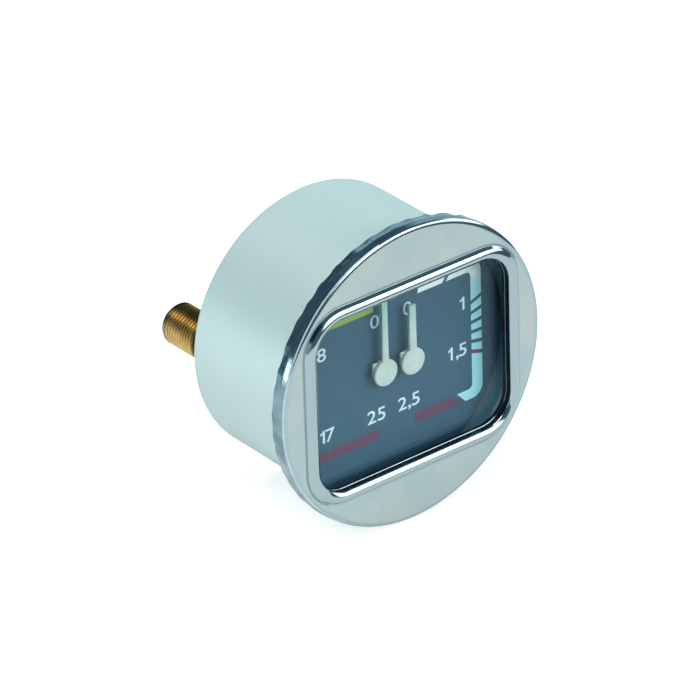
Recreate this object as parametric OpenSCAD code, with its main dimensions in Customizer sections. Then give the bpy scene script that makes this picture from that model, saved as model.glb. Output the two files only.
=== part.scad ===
// Twin panel pressure gauge: two Bourdon tube movements, one for each pointer, in a
// drawn steel case behind a rectangular window. The dial faces -Y, +Z is twelve
// o'clock, and the origin is on the case axis where the bezel's rear lip meets the panel.

/* [Case] */
// Outside diameter of the case
case_d = 63; // [62:0.5:66]
// From the panel seat back to the outside of the case back
case_depth = 32.2; // [31.6:0.2:36]
// Sheet thickness of the case
case_wall = 0.8; // [0.6:0.1:1]
// Outside radius where the case wall turns into the case back
case_corner_r = 1; // [0.6:0.1:2.5]

/* [Bezel] */
// How far the bezel stands out past the case wall, at least
bezel_rim = 4.15; // [3.8:0.05:5.5]
// From the bezel's flat front face back to the panel seat
bezel_depth = 4.2; // [3.8:0.1:6]
// Sheet thickness of the bezel
bezel_sheet = 0.5; // [0.4:0.05:0.6]
// Outside radius of the bezel's rolled front edge
bezel_edge_r = 0.7; // [0.65:0.05:1.6]
// How far the rear lip is folded in behind the case flange
crimp_reach = 1.6; // [1:0.1:2]
// Width of the window between the bead's inner walls
window_w = 53; // [48:0.5:53.5]
// Height of the window between the bead's inner walls
window_h = 41.7; // [36:0.5:42]
// Inside corner radius of the window
window_r = 7.2; // [6:0.2:10]
// Width of the raised bead around the window
bead_w = 3.4; // [3.2:0.1:3.6]
// How far the bead stands up from the bezel's flat face
bead_h = 1.45; // [1:0.05:1.6]

/* [Lens] */
// Thickness of the lens
lens_t = 1.2; // [1:0.1:1.5]

/* [Dial] */
// From the panel seat back to the dial's face
dial_setback = 3; // [2.8:0.1:3.6]
// Thickness of the dial plate
dial_t = 0.5; // [0.4:0.1:0.6]
// From the dial's edge in to the dial screws
dial_screw_inset = 3.2; // [2.7:0.1:4]
// Half width of the clear field inside the printed bands
band_in_x = 21.8; // [19:0.2:22]
// Half height of the clear field inside the printed bands
band_in_z = 14.5; // [13:0.25:15.5]
// Width of the upright bands
band_side_w = 2.9; // [2:0.1:3.2]
// Width of the level bands
band_level_w = 2.5; // [1.8:0.1:3]

/* [Pointers] */
// Distance between the two pointer axes
hub_spacing = 7.8; // [7.6:0.1:9]
// Diameter of a pointer's round hub
hub_d = 6.6; // [5.6:0.2:6.8]
// From the pump pointer's axis to its tip
pump_pointer_len = 19; // [14:0.5:22]
// From the boiler pointer's axis to its tip
boiler_pointer_len = 13.9; // [12:0.5:22]
// Width of a pointer where it leaves the hub
pointer_w = 1.9; // [1.2:0.1:2.2]
// Width of a pointer at its tip
pointer_tip_w = 1.5; // [0.8:0.1:1.6]
// Thickness of a pointer's blade
pointer_t = 0.8; // [0.6:0.1:1]

/* [Movement] */
// From the inside of the case wall in to the port axes
socket_inset = 7.2; // [6.8:0.1:8]
// Thickness of the front and rear movement plates
plate_t = 1.2; // [1:0.1:1.5]
// Diameter of the pointer arbors and of the sector arbors
arbor_d = 1.5; // [1.2:0.1:1.6]
// Thickness of a toothed sector
sector_t = 1; // [0.8:0.1:1.1]
// Length of the sector's tail, from its axis to the link's pin
tail_len = 6.5; // [6.3:0.1:6.8]
// Radial thickness of the flattened Bourdon tube
tube_t = 2.4; // [2:0.1:2.6]
// Width of the flattened Bourdon tube along the gauge's axis
tube_w = 5.5; // [4.8:0.1:5.6]
// Wall of the Bourdon tube
tube_wall = 0.3; // [0.2:0.05:0.4]
// Thickness of the links
link_t = 0.8; // [0.6:0.1:0.9]

/* [Ports] */
// Major diameter of the port threads
thread_d = 9.728; // [9:0.1:10]
// Length of a port behind the case back
port_len = 15.7; // [12:0.1:22]
// Diameter of the pressure passage
passage_d = 3; // [2:0.2:3.6]

/* [Hidden] */

$fn = 64;

// Clearances
press_gap = 0.01;   // a part held fast in its hole
run_gap = 0.03;     // a turning arbor in its bearing
pin_gap = 0.05;     // the link on the tube end's pin
tail_gap = 0.15;    // the link on the sector's tail pin
seat_gap = 0.1;     // loose parts inside the bezel
wall_gap = 0.5;     // the dial inside the case
slot_gap = 0.05;    // a tube in its socket
cut = 1;            // how far a cutter runs past a face

// Sides: +1 is the boiler movement on the right, -1 the pump movement on the left
PUMP = -1;
BOILER = 1;

// Case and bezel
case_r = case_d / 2;
case_in_r = case_r - case_wall;
case_in_corner_r = max(case_corner_r - case_wall, 0.2);
bead_margin = 1.4;
window_corner = [window_w / 2 - window_r, window_h / 2 - window_r];
bead_reach = norm(window_corner) + window_r + bead_w;
bezel_r = max(case_r + bezel_rim, bead_reach + bead_margin);
flange_t = 0.6;
flange_r = bezel_r - bezel_sheet - seat_gap;
back_y = case_depth - case_wall;
flange_y = -bezel_sheet - flange_t;
face_y = -bezel_depth;
lens_y = flange_y - lens_t;
lens_r = flange_r - seat_gap;
bead_r = bead_w / 2;
bead_y = face_y + bead_r - bead_h;

// Dial and its bands
dial_y = dial_setback;
dial_r = case_in_r - wall_gap;
dial_screw_z = dial_r - dial_screw_inset;
arbor_clear = 0.55;
arbor_hole_r = arbor_d / 2 + arbor_clear;
ink_t = 0.06;
band_corner_in = 1.2;
band_corner_out = 3;
tick_w = 0.9;
tick_first = 69.5;
tick_step = 7.45;
ticks = 5;
half_bar_angle = 36;
light_from = 12.2;
light_to = 137;
red_from = 140;
red_to = 174;
yellow_from = 4.8;
pump_warm_angle = 57.6;
pump_red_angle = 122.4;
pump_red_to = 178;

// Pointers
hub_x = hub_spacing / 2;
hub_t = 0.9;
boss_d = 6;
boss_t = 1.4;
hub_y = dial_y - 2.7;
boss_end_y = hub_y + hub_t + boss_t;

// Movement, measured along the gauge's axis and built up from the case back
rear_space = 3.8;
gears_space = 3.6;
end_margin = 0.4;
tube_gap = 0.5;
tube_inset = 0.15;
spring_inset = 4.6;
layer_gap = 0.2;
layer_step = tube_w + end_margin + tube_gap;
rear_end_y = back_y - rear_space;
rear_plate_y = rear_end_y - plate_t;
gears_y = rear_plate_y - 2 * layer_step;
front_plate_y = gears_y - gears_space;
function layer_y(side) = side == BOILER ? gears_y : gears_y + layer_step;
function sector_y(side) = layer_y(side) + layer_gap;
function link_y(side) = sector_y(side) + sector_t + layer_gap;
function lug_y(side) = link_y(side) + link_t + layer_gap;
function tube_y(side) = layer_y(side) + tube_w / 2 + tube_inset;
function spring_y(side) = layer_y(side) + spring_inset;

// Gears
arbor_r = arbor_d / 2;
pinion_teeth = 12;
sector_teeth = 108;
pressure_angle = 20;
gear_module = 0.3;
pinion_pitch_r = gear_module * pinion_teeth / 2;
sector_pitch_r = gear_module * sector_teeth / 2;
centre_distance = pinion_pitch_r + sector_pitch_r;
sector_z = -centre_distance;
tooth_play = 0.025;
sector_pitch_angle = 360 / sector_teeth;
sector_hub_r = 2.2;
rim_depth = 2;
pinion_w = 2;
arbor_end = 0.3;
collar_rim = 0.8;
collar_t = 0.8;

// Linkage: the tail's rest angle, and the tube end's pin
tail_angle = -23;
pin_r = 0.5;
pin_end = 0.3;
pin_head_rim = 0.3;
pin_head_t = 0.3;
eye_r = 1.3;
tail_x = hub_x + tail_len * cos(tail_angle);
tail_z = sector_z + tail_len * sin(tail_angle);

// Bourdon tubes
socket_x = case_in_r - socket_inset;
tube_r = socket_x;
tube_tip_angle = 22;
tube_root_angle = 175;
end_span = 4.5;
lug_reach = 6.1;
lug_drop = 0.3;
lug_t = 1;
lug_w = 1.6;
lug_root = tube_tip_angle - 0.8 * end_span;
tip_x = tube_r * cos(lug_root) - lug_reach;
tip_z = tube_r * sin(lug_root) - lug_drop;

// Sockets and screws
socket_w = 8.8;
socket_h = 11;
foot_t = 3;
foot_w = 5.2;
foot_screw_z = 8.5;
screw_r = 1.25;
screw_head_r = 2.2;
screw_head_t = 1.3;
small_screw_r = 0.8;
small_head_r = 1.5;
small_head_t = 0.8;
plate_screw_x = 2.5;
plate_screw_z = -3;
thread_r = thread_d / 2;
neck_r = thread_r + 0.4;
neck_end_y = case_depth + 0.5;
port_end_y = case_depth + port_len;
port_chamfer = 0.6;
restrictor_inset = 3;
restrictor_len = 4;
restrictor_bore_r = 0.4;

// Front and rear plates
plate_disc_r = 13.2;
plate_arm = [hub_spacing + 6, centre_distance + 7];
small_hole_depth = 4;
small_shank = 3;
upper_pillar = [8.5, 7.5];
lower_pillar = [0, sector_z - 4.5];
pillar_places = [[-upper_pillar.x, upper_pillar.y], upper_pillar, lower_pillar];
pillar_r = 1.6;
post_r = 1.8;

// Hairsprings
collet_r = arbor_d / 2 + 0.75;
spring_out_r = 4.6;
spring_turns = 4;
spring_t = 0.12;
spring_w = 0.7;
collet_t = 1.4;
stud_r = 0.7;

// ---- Helpers ----

// A flat shape drawn in X and Z, from depth y0 back through a thickness t
module slab(y0, t) {
    translate([0, y0 + t, 0]) rotate([90, 0, 0]) linear_extrude(t) children();
}

// A round bar along the gauge's axis, from depth y0 to depth y1
module rod(r, y0, y1, x = 0, z = 0) {
    translate([x, y0, z]) rotate([-90, 0, 0]) cylinder(r = r, h = y1 - y0);
}

// A profile of radius and depth, turned about the gauge's axis
module lathe() {
    rotate([-90, 0, 0]) rotate_extrude($fn = 128) children();
}

// The same through the angles a0 to a1, counted from +X towards +Z
module arc_lathe(a0, a1) {
    rotate([-90, 0, 0]) rotate([0, 0, -a1]) rotate_extrude(angle = a1 - a0, $fn = 128) children();
}

// The shapes of one movement are drawn for the right side and mirrored for the left
module sided(side) {
    mirror([side == PUMP ? 1 : 0, 0, 0]) children();
}

// A rectangle with round corners, centred
module round_rect(w, h, r) {
    square([w - 2 * r, h], center = true);
    square([w, h - 2 * r], center = true);
    for (x = [-1, 1], z = [-1, 1])
        translate([x * (w / 2 - r), z * (h / 2 - r)]) circle(r);
}

// A bar of the given width with round ends, from point a to point b
module bar(a, b, w, end_a, end_b) {
    d = b - a;
    n = [-d.y, d.x] / norm(d) * w / 2;
    polygon([a + n, a - n, b - n, b + n]);
    translate(a) circle(end_a);
    translate(b) circle(end_b);
}

// A screw with a slotted head: its shank runs back from depth y, its head forward
module slot_screw(shank_r, shank_len, head_r, head_t, x, y, z) {
    slot = head_r / 4;
    rod(shank_r, y, y + shank_len, x, z);
    difference() {
        rod(head_r, y - head_t, y, x, z);
        translate([x - head_r - cut, y - head_t - cut, z - slot / 2])
            cube([2 * (head_r + cut), cut + head_t / 2, slot]);
    }
}

// The same screw put in from behind: its shank runs forward from depth y
module rear_slot_screw(shank_r, shank_len, head_r, head_t, x, y, z) {
    translate([0, 2 * y, 0]) mirror([0, 1, 0])
        slot_screw(shank_r, shank_len, head_r, head_t, x, y, z);
}

// ---- Case and bezel ----

// A pot's section, open towards the front: from depth y0 back to y1, with a round corner
module pot(r, corner, y0, y1) {
    translate([-cut, y0]) square([r + cut, y1 - corner - y0]);
    translate([-cut, y0]) square([r - corner + cut, y1 - y0]);
    translate([r - corner, y1 - corner]) circle(corner);
}

module case_profile() {
    difference() {
        union() {
            pot(case_r, case_corner_r, flange_y, case_depth);
            translate([0, flange_y]) square([flange_r, flange_t]);
        }
        pot(case_in_r, case_in_corner_r, flange_y - cut, back_y);
    }
}

module case() {
    color("#b9cfcd") difference() {
        lathe() intersection() {
            case_profile();
            translate([0, flange_y]) square([flange_r, case_depth - flange_y]);
        }
        for (side = [-1, 1]) {
            rod(neck_r + slot_gap, back_y - cut, case_depth + cut, side * socket_x);
            for (z = [-foot_screw_z, foot_screw_z])
                rod(screw_r + slot_gap, back_y - cut, case_depth + cut, side * socket_x, z);
        }
    }
}

// Section of the bead: distance out from the window's edge, and depth
module bead_section() {
    difference() {
        translate([bead_r, bead_y]) circle(bead_r);
        translate([bead_r, bead_y]) circle(bead_r - bezel_sheet);
        translate([bezel_sheet, face_y + bezel_sheet]) square([bead_w, bead_w]);
        translate([-cut, bead_y]) square([bezel_sheet + cut, bead_w]);
    }
    translate([0, bead_y]) square([bezel_sheet, lens_y - bead_y]);
}

module bead() {
    for (k = [0 : 3]) {
        reach = (k % 2 == 0 ? window_h : window_w) / 2;
        run = (k % 2 == 0 ? window_w : window_h) - 2 * window_r;
        rotate([0, 90 * k, 0]) translate([run / 2, 0, reach])
            rotate([0, -90, 0]) linear_extrude(run) bead_section();
    }
    for (x = [-1, 1], z = [-1, 1]) {
        start = x > 0 ? (z > 0 ? 0 : 270) : (z > 0 ? 90 : 180);
        translate([x * window_corner.x, 0, z * window_corner.y])
            arc_lathe(start, start + 90) translate([window_r, 0]) bead_section();
    }
}

// Outline of the bezel's side, smaller by the inset
module bezel_outline(inset) {
    edge_r = bezel_edge_r - inset;
    corner = [bezel_r - bezel_edge_r, face_y + bezel_edge_r];
    translate([0, face_y + inset]) square([corner.x, bezel_depth - 2 * inset]);
    translate([0, corner.y]) square([bezel_r - inset, -corner.y - inset]);
    translate(corner) circle(edge_r);
}

module bezel() {
    lip_r = bezel_r - bezel_sheet - crimp_reach;
    plate_out = bead_w - bezel_sheet / 2;
    color("#c8ccca") {
        difference() {
            lathe() difference() {
                intersection() {
                    bezel_outline(0);
                    translate([0, face_y]) square([bezel_r, bezel_depth]);
                }
                bezel_outline(bezel_sheet);
                translate([-cut, -bezel_sheet - cut]) square([lip_r + cut, bezel_sheet + 2 * cut]);
            }
            slab(face_y - cut, bezel_sheet + 2 * cut)
                round_rect(window_w + 2 * plate_out, window_h + 2 * plate_out, window_r + plate_out);
        }
        bead();
    }
}

// The ring lies between the bead's round corners and the bezel's rolled edge
module lens_gasket() {
    gasket_y = face_y + bezel_sheet;
    in_r = norm(window_corner) + window_r + bezel_sheet + seat_gap;
    out_r = bezel_r - max(bezel_edge_r, bezel_sheet + seat_gap);
    color("#2b2b2b") lathe() translate([in_r, gasket_y]) square([out_r - in_r, lens_y - gasket_y]);
}

module lens() {
    color("#dfeef2", 0.35) rod(lens_r, lens_y, lens_y + lens_t, $fn = 128);
}

// ---- Dial ----

module dial_plate() {
    color("#44586e") difference() {
        rod(dial_r, dial_y, dial_y + dial_t, $fn = 128);
        for (side = [-1, 1]) {
            rod(arbor_hole_r, dial_y - cut, dial_y + dial_t + cut, side * hub_x);
            rod(small_screw_r, dial_y - cut, dial_y + dial_t + cut, 0, side * dial_screw_z);
        }
    }
}

// The frame that all the printed bands are parts of
module band_frame() {
    difference() {
        round_rect(2 * (band_in_x + band_side_w), 2 * (band_in_z + band_level_w), band_corner_out);
        round_rect(2 * band_in_x, 2 * band_in_z, band_corner_in);
    }
}

// A fan from the right pointer's axis between two angles, counted clockwise from the top
module fan(from, to) {
    reach = 2 * case_r;
    steps = ceil((to - from) / 30);
    polygon(concat([[hub_x, 0]], [for (k = [0 : steps])
        let (a = from + (to - from) * k / steps)
        [hub_x + reach * sin(a), reach * cos(a)]]));
}

// A radial mark across the bands at one angle
module tick(angle) {
    translate([hub_x, 0]) rotate(-angle) translate([-tick_w / 2, 0]) square([tick_w, 2 * case_r]);
}

module printed(side) {
    sided(side) slab(dial_y - ink_t, ink_t) children();
}

module dial_bands_light() {
    color("#a9c9cf") {
        printed(BOILER) difference() {
            intersection() {
                band_frame();
                fan(light_from, light_to);
            }
            for (k = [0 : ticks]) tick(tick_first + k * tick_step);
            tick(half_bar_angle);
        }
        printed(PUMP) intersection() {
            band_frame();
            fan(pump_warm_angle, pump_red_angle);
        }
    }
}

module dial_bands_red() {
    color("#7c3a4c") {
        printed(BOILER) intersection() {
            band_frame();
            union() {
                fan(red_from, red_to);
                tick(tick_first + ticks * tick_step);
            }
        }
        printed(PUMP) intersection() {
            band_frame();
            fan(pump_red_angle, pump_red_to);
        }
    }
}

module dial_band_yellow() {
    color("#a9a93a") printed(PUMP) intersection() {
        band_frame();
        fan(yellow_from, pump_warm_angle);
    }
}

module dial_posts() {
    color("#c9a45a") for (z = [-dial_screw_z, dial_screw_z]) difference() {
        rod(post_r, dial_y + dial_t, front_plate_y, 0, z);
        rod(small_screw_r, dial_y, front_plate_y + cut, 0, z);
    }
}

module dial_screws() {
    color("#9a9a98") for (z = [-dial_screw_z, dial_screw_z])
        slot_screw(small_screw_r - press_gap, dial_t + small_shank, small_head_r, small_head_t,
                   0, dial_y, z);
}

// ---- Movement plates ----

module plate_holes() {
    for (side = [-1, 1], z = [0, sector_z]) translate([side * hub_x, z]) circle(arbor_r + run_gap);
    for (p = pillar_places) translate(p) circle(small_screw_r);
}

module front_plate() {
    arm_w = 8;
    color("#b9a063") slab(front_plate_y, plate_t) difference() {
        union() {
            circle(plate_disc_r);
            square([2 * socket_x + socket_w, socket_h], center = true);
            square([arm_w, 2 * (dial_screw_z + post_r)], center = true);
            translate([-plate_arm.x / 2, -plate_arm.y]) square(plate_arm);
        }
        plate_holes();
        for (side = [-1, 1]) {
            translate([0, side * dial_screw_z]) circle(small_screw_r);
            for (x = [-plate_screw_x, plate_screw_x])
                translate([side * socket_x + x, plate_screw_z]) circle(small_screw_r);
        }
    }
}

module rear_plate() {
    color("#b9a063") slab(rear_plate_y, plate_t) difference() {
        union() {
            circle(plate_disc_r);
            translate([-plate_arm.x / 2, -plate_arm.y]) square(plate_arm);
        }
        plate_holes();
    }
}

module pillars() {
    color("#c9a45a") for (p = pillar_places) difference() {
        rod(pillar_r, front_plate_y + plate_t, rear_plate_y, p.x, p.y);
        rod(small_screw_r, rear_plate_y - small_hole_depth, rear_plate_y + cut, p.x, p.y);
        rod(small_screw_r, front_plate_y, front_plate_y + plate_t + small_hole_depth, p.x, p.y);
    }
}

module pillar_screws() {
    color("#9a9a98") for (p = pillar_places) {
        rear_slot_screw(small_screw_r - press_gap, plate_t + small_shank, small_head_r, small_head_t,
                        p.x, rear_end_y, p.y);
        slot_screw(small_screw_r - press_gap, plate_t + small_shank, small_head_r, small_head_t,
                   p.x, front_plate_y, p.y);
    }
}

// ---- Sockets, tubes and ports ----

// The flattened tube's outline about its own centre, smaller by the inset
module tube_outline(inset) {
    round_rect(tube_t - 2 * inset, tube_w - 2 * inset, (tube_t - 2 * inset) / 2 - press_gap);
}

module tube_arc(side, a0, a1) {
    arc_lathe(a0, a1) translate([tube_r, tube_y(side)]) children();
}

module socket(side) {
    socket_y = front_plate_y + plate_t;
    bore_end_y = tube_y(side) - passage_d / 2;
    color("#b8924a") sided(side) difference() {
        union() {
            slab(socket_y, back_y - socket_y) translate([-socket_x, 0])
                square([socket_w, socket_h], center = true);
            slab(back_y - foot_t, foot_t) translate([-socket_x, 0])
                bar([0, -foot_screw_z], [0, foot_screw_z], foot_w, foot_w / 2, foot_w / 2);
            rod(neck_r, back_y, neck_end_y, -socket_x);
            rod(thread_r, neck_end_y, port_end_y - port_chamfer, -socket_x);
            translate([-socket_x, port_end_y - port_chamfer, 0]) rotate([-90, 0, 0])
                cylinder(r1 = thread_r, r2 = thread_r - port_chamfer, h = port_chamfer);
        }
        rod(passage_d / 2, bore_end_y, port_end_y + cut, -socket_x);
        translate([-socket_x, tube_y(side), 0])
            cylinder(r = tube_t / 2 - tube_wall, h = tube_r * sin(tube_root_angle) + cut);
        tube_arc(side, tube_tip_angle + 90, tube_root_angle) tube_outline(-slot_gap);
        for (x = [-plate_screw_x, plate_screw_x])
            rod(small_screw_r, socket_y - cut, socket_y + small_hole_depth, x - socket_x, plate_screw_z);
        for (z = [-foot_screw_z, foot_screw_z])
            rod(screw_r, back_y - foot_t - cut, back_y + cut, -socket_x, z);
    }
}

module socket_screws() {
    color("#a8aaa8") for (side = [-1, 1], z = [-foot_screw_z, foot_screw_z])
        rear_slot_screw(screw_r - press_gap, case_wall + foot_t, screw_head_r, screw_head_t,
                        side * socket_x, case_depth, z);
}

module plate_screws() {
    color("#9a9a98") for (side = [-1, 1], x = [-plate_screw_x, plate_screw_x])
        slot_screw(small_screw_r - press_gap, plate_t + small_shank, small_head_r, small_head_t,
                   side * socket_x + x, front_plate_y, plate_screw_z);
}

module restrictors() {
    color("#d8b868") for (side = [-1, 1]) difference() {
        y1 = port_end_y - restrictor_inset;
        rod(passage_d / 2 - press_gap, y1 - restrictor_len, y1, side * socket_x);
        rod(restrictor_bore_r, y1 - restrictor_len - cut, y1 + cut, side * socket_x);
    }
}

module bourdon_tube(side) {
    color("#c08a3c") sided(side) tube_arc(side, tube_tip_angle, tube_root_angle) difference() {
        tube_outline(0);
        tube_outline(tube_wall);
    }
}

// The tube's closed end: a block, a lug that reaches inwards and the link's pin
module tube_end(side) {
    block = [tube_t + 2 * end_margin, tube_w + 2 * end_margin];
    pin_end_y = link_y(side) - pin_end;
    color("#c8a050") sided(side) {
        tube_arc(side, tube_tip_angle - end_span, tube_tip_angle) square(block, center = true);
        slab(lug_y(side), lug_t)
            bar([tip_x, tip_z], tube_r * [cos(lug_root), sin(lug_root)], lug_w, eye_r, lug_w / 2);
        rod(pin_r, pin_end_y, lug_y(side), tip_x, tip_z);
        rod(pin_r + pin_head_rim, pin_end_y - pin_head_t, pin_end_y, tip_x, tip_z);
    }
}

module link(side) {
    color("#b8b8b4") sided(side) slab(link_y(side), link_t) difference() {
        bar([tail_x, tail_z], [tip_x, tip_z], 1.5, eye_r, eye_r);
        translate([tail_x, tail_z]) circle(pin_r + tail_gap);
        translate([tip_x, tip_z]) circle(pin_r + pin_gap);
    }
}

// ---- Gears ----

// Involute of an angle in degrees, also in degrees
function involute(a) = tan(a) * 180 / PI - a;

// Half the angle that a tooth takes at radius r, on a wheel of pitch radius pitch_r
function half_tooth(pitch_r, r) =
    let (base_r = pitch_r * cos(pressure_angle),
         at_pitch = (PI * gear_module / 4 - tooth_play) / pitch_r * 180 / PI)
    at_pitch + involute(pressure_angle) - (r > base_r ? involute(acos(base_r / r)) : 0);

// One tooth pointing up, from radius r0 out to radius r1
module tooth(pitch_r, r0, r1) {
    steps = 5;
    side = [for (k = [0 : steps]) let (r = r0 + (r1 - r0) * k / steps) [r, half_tooth(pitch_r, r)]];
    polygon(concat(
        [for (k = [0 : steps]) side[k][0] * [sin(side[k][1]), cos(side[k][1])]],
        [for (k = [steps : -1 : 0]) side[k][0] * [-sin(side[k][1]), cos(side[k][1])]]));
}

module pinion_shape() {
    root_r = pinion_pitch_r - 1.4 * gear_module;
    circle(root_r);
    for (k = [0 : pinion_teeth - 1]) rotate(180 + k * 360 / pinion_teeth)
        tooth(pinion_pitch_r, root_r - 0.1, pinion_pitch_r + gear_module);
}

// The sector at rest, about its own axis
module sector_shape() {
    root_r = sector_pitch_r - 1.3 * gear_module;
    tip_r = sector_pitch_r + 0.65 * gear_module;
    teeth_from = -1;
    teeth_to = 8;
    low = (teeth_from - 1) * sector_pitch_angle;
    high = teeth_to * sector_pitch_angle;
    fan_at = function (r, a) [r * sin(a), r * cos(a)];
    intersection() {
        difference() {
            circle(root_r, $fn = 128);
            circle(root_r - rim_depth, $fn = 128);
        }
        polygon([[0, 0], fan_at(2 * root_r, low), fan_at(2 * root_r, high)]);
    }
    for (k = [teeth_from : teeth_to]) rotate(-(k - 0.5) * sector_pitch_angle)
        tooth(sector_pitch_r, root_r - 0.1, tip_r);
    for (a = [low + 3, high - 3]) bar([0, 0], fan_at(root_r - rim_depth / 2, a), 1.6, 0.8, 0.8);
    circle(sector_hub_r);
    bar([0, 0], tail_len * [cos(tail_angle), sin(tail_angle)], 2, 1, eye_r);
}

module sector(side) {
    color("#c8a050") sided(side) slab(sector_y(side), sector_t) difference() {
        translate([hub_x, sector_z]) sector_shape();
        translate([hub_x, sector_z]) circle(arbor_r + press_gap);
        translate([tail_x, tail_z]) circle(pin_r + press_gap);
    }
}

module sector_arbor(side) {
    color("#b0b0b0") sided(side) {
        rod(arbor_r, front_plate_y - arbor_end, rear_end_y + arbor_end, hub_x, sector_z);
        rod(arbor_r + collar_rim, sector_y(side) - collar_t, sector_y(side), hub_x, sector_z);
    }
}

module tail_pin(side) {
    color("#a8a8a6") sided(side) {
        rod(pin_r, sector_y(side), link_y(side) + link_t + pin_end, tail_x, tail_z);
        rod(pin_r + pin_head_rim, sector_y(side) - pin_head_t, sector_y(side), tail_x, tail_z);
    }
}

module arbor(side) {
    color("#b0b0b0") sided(side) {
        rod(arbor_r, hub_y + hub_t, rear_end_y + arbor_end, hub_x);
        slab(sector_y(side) + (sector_t - pinion_w) / 2, pinion_w) translate([hub_x, 0])
            pinion_shape();
    }
}

module collet(side) {
    color("#c8a050") sided(side) difference() {
        rod(collet_r, spring_y(side) - collet_t / 2, spring_y(side) + collet_t / 2, hub_x);
        rod(arbor_r + press_gap, spring_y(side) - cut, spring_y(side) + cut, hub_x);
    }
}

// A flat spiral strip from the collet out to the stud
module hairspring(side) {
    steps = 24 * spring_turns;
    inner = collet_r + spring_t / 2;
    at = function (k, offset)
        let (a = 360 * spring_turns * k / steps, r = inner + (spring_out_r - inner) * k / steps)
        (r + offset) * [cos(a), sin(a)];
    color("#8fa0b8") sided(side) slab(spring_y(side) - spring_w / 2, spring_w) translate([hub_x, 0])
        polygon(concat([for (k = [0 : steps]) at(k, spring_t / 2)],
                       [for (k = [steps : -1 : 0]) at(k, -spring_t / 2)]));
}

// The post that holds the spring's outer end
module spring_stud(side) {
    stud_x = hub_x + spring_out_r + spring_t / 2 + stud_r;
    y0 = side == BOILER ? front_plate_y + plate_t : spring_y(side) - spring_w / 2;
    y1 = side == BOILER ? spring_y(side) + spring_w / 2 : rear_plate_y;
    color("#c8a050") sided(side) rod(stud_r, y0, y1, stud_x, 0);
}

// ---- Pointers ----

module pointer(side, len) {
    color("#f0efe8") sided(side) difference() {
        union() {
            rod(hub_d / 2, hub_y, hub_y + hub_t, hub_x);
            rod(boss_d / 2, hub_y + hub_t, boss_end_y, hub_x);
            slab(hub_y, pointer_t) translate([hub_x, 0])
                polygon([[-pointer_w / 2, 0], [pointer_w / 2, 0],
                         [pointer_tip_w / 2, len], [-pointer_tip_w / 2, len]]);
        }
        rod(arbor_r + press_gap, hub_y + hub_t, boss_end_y + cut, hub_x);
    }
}

module pump_socket() socket(PUMP);
module boiler_socket() socket(BOILER);
module pump_bourdon_tube() bourdon_tube(PUMP);
module boiler_bourdon_tube() bourdon_tube(BOILER);
module pump_tube_end() tube_end(PUMP);
module boiler_tube_end() tube_end(BOILER);
module pump_link() link(PUMP);
module boiler_link() link(BOILER);
module pump_sector() sector(PUMP);
module boiler_sector() sector(BOILER);
module pump_sector_arbor() sector_arbor(PUMP);
module boiler_sector_arbor() sector_arbor(BOILER);
module pump_tail_pin() tail_pin(PUMP);
module boiler_tail_pin() tail_pin(BOILER);
module pump_arbor() arbor(PUMP);
module boiler_arbor() arbor(BOILER);
module pump_collet() collet(PUMP);
module boiler_collet() collet(BOILER);
module pump_hairspring() hairspring(PUMP);
module boiler_hairspring() hairspring(BOILER);
module pump_spring_stud() spring_stud(PUMP);
module boiler_spring_stud() spring_stud(BOILER);
module pump_pointer() pointer(PUMP, pump_pointer_len);
module boiler_pointer() pointer(BOILER, boiler_pointer_len);

case();
bezel();
lens_gasket();
lens();
dial_plate();
dial_bands_light();
dial_bands_red();
dial_band_yellow();
dial_posts();
dial_screws();
front_plate();
rear_plate();
pillars();
pillar_screws();
pump_socket();
boiler_socket();
socket_screws();
plate_screws();
restrictors();
pump_bourdon_tube();
boiler_bourdon_tube();
pump_tube_end();
boiler_tube_end();
pump_link();
boiler_link();
pump_sector();
boiler_sector();
pump_sector_arbor();
boiler_sector_arbor();
pump_tail_pin();
boiler_tail_pin();
pump_arbor();
boiler_arbor();
pump_collet();
boiler_collet();
pump_hairspring();
boiler_hairspring();
pump_spring_stud();
boiler_spring_stud();
pump_pointer();
boiler_pointer();
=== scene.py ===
import bpy
import math
import random
from mathutils import Matrix, Vector


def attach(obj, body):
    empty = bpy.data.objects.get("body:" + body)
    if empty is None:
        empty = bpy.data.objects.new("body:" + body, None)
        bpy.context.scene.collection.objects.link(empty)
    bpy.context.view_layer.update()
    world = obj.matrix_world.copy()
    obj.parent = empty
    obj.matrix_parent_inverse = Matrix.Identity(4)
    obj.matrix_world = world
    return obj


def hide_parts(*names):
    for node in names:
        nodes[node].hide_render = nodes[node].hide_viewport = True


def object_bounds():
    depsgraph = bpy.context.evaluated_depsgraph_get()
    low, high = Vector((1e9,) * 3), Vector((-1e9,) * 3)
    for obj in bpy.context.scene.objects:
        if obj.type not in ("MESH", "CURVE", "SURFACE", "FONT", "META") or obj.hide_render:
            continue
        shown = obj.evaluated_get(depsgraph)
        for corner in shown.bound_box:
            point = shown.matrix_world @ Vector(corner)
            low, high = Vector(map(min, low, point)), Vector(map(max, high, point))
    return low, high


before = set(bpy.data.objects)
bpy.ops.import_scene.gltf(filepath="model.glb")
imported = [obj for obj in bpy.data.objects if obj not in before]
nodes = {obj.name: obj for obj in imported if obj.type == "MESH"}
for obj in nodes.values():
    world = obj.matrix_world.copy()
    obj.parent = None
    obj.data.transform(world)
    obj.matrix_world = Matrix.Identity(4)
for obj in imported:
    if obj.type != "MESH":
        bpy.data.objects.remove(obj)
cad_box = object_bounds()
MM = 0.001

# ---------------------------------------------------------------- camera

SENSOR_WIDTH = 36
FOCAL_LENGTH = 303.1
CAMERA_DISTANCE = 1.2582

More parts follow.
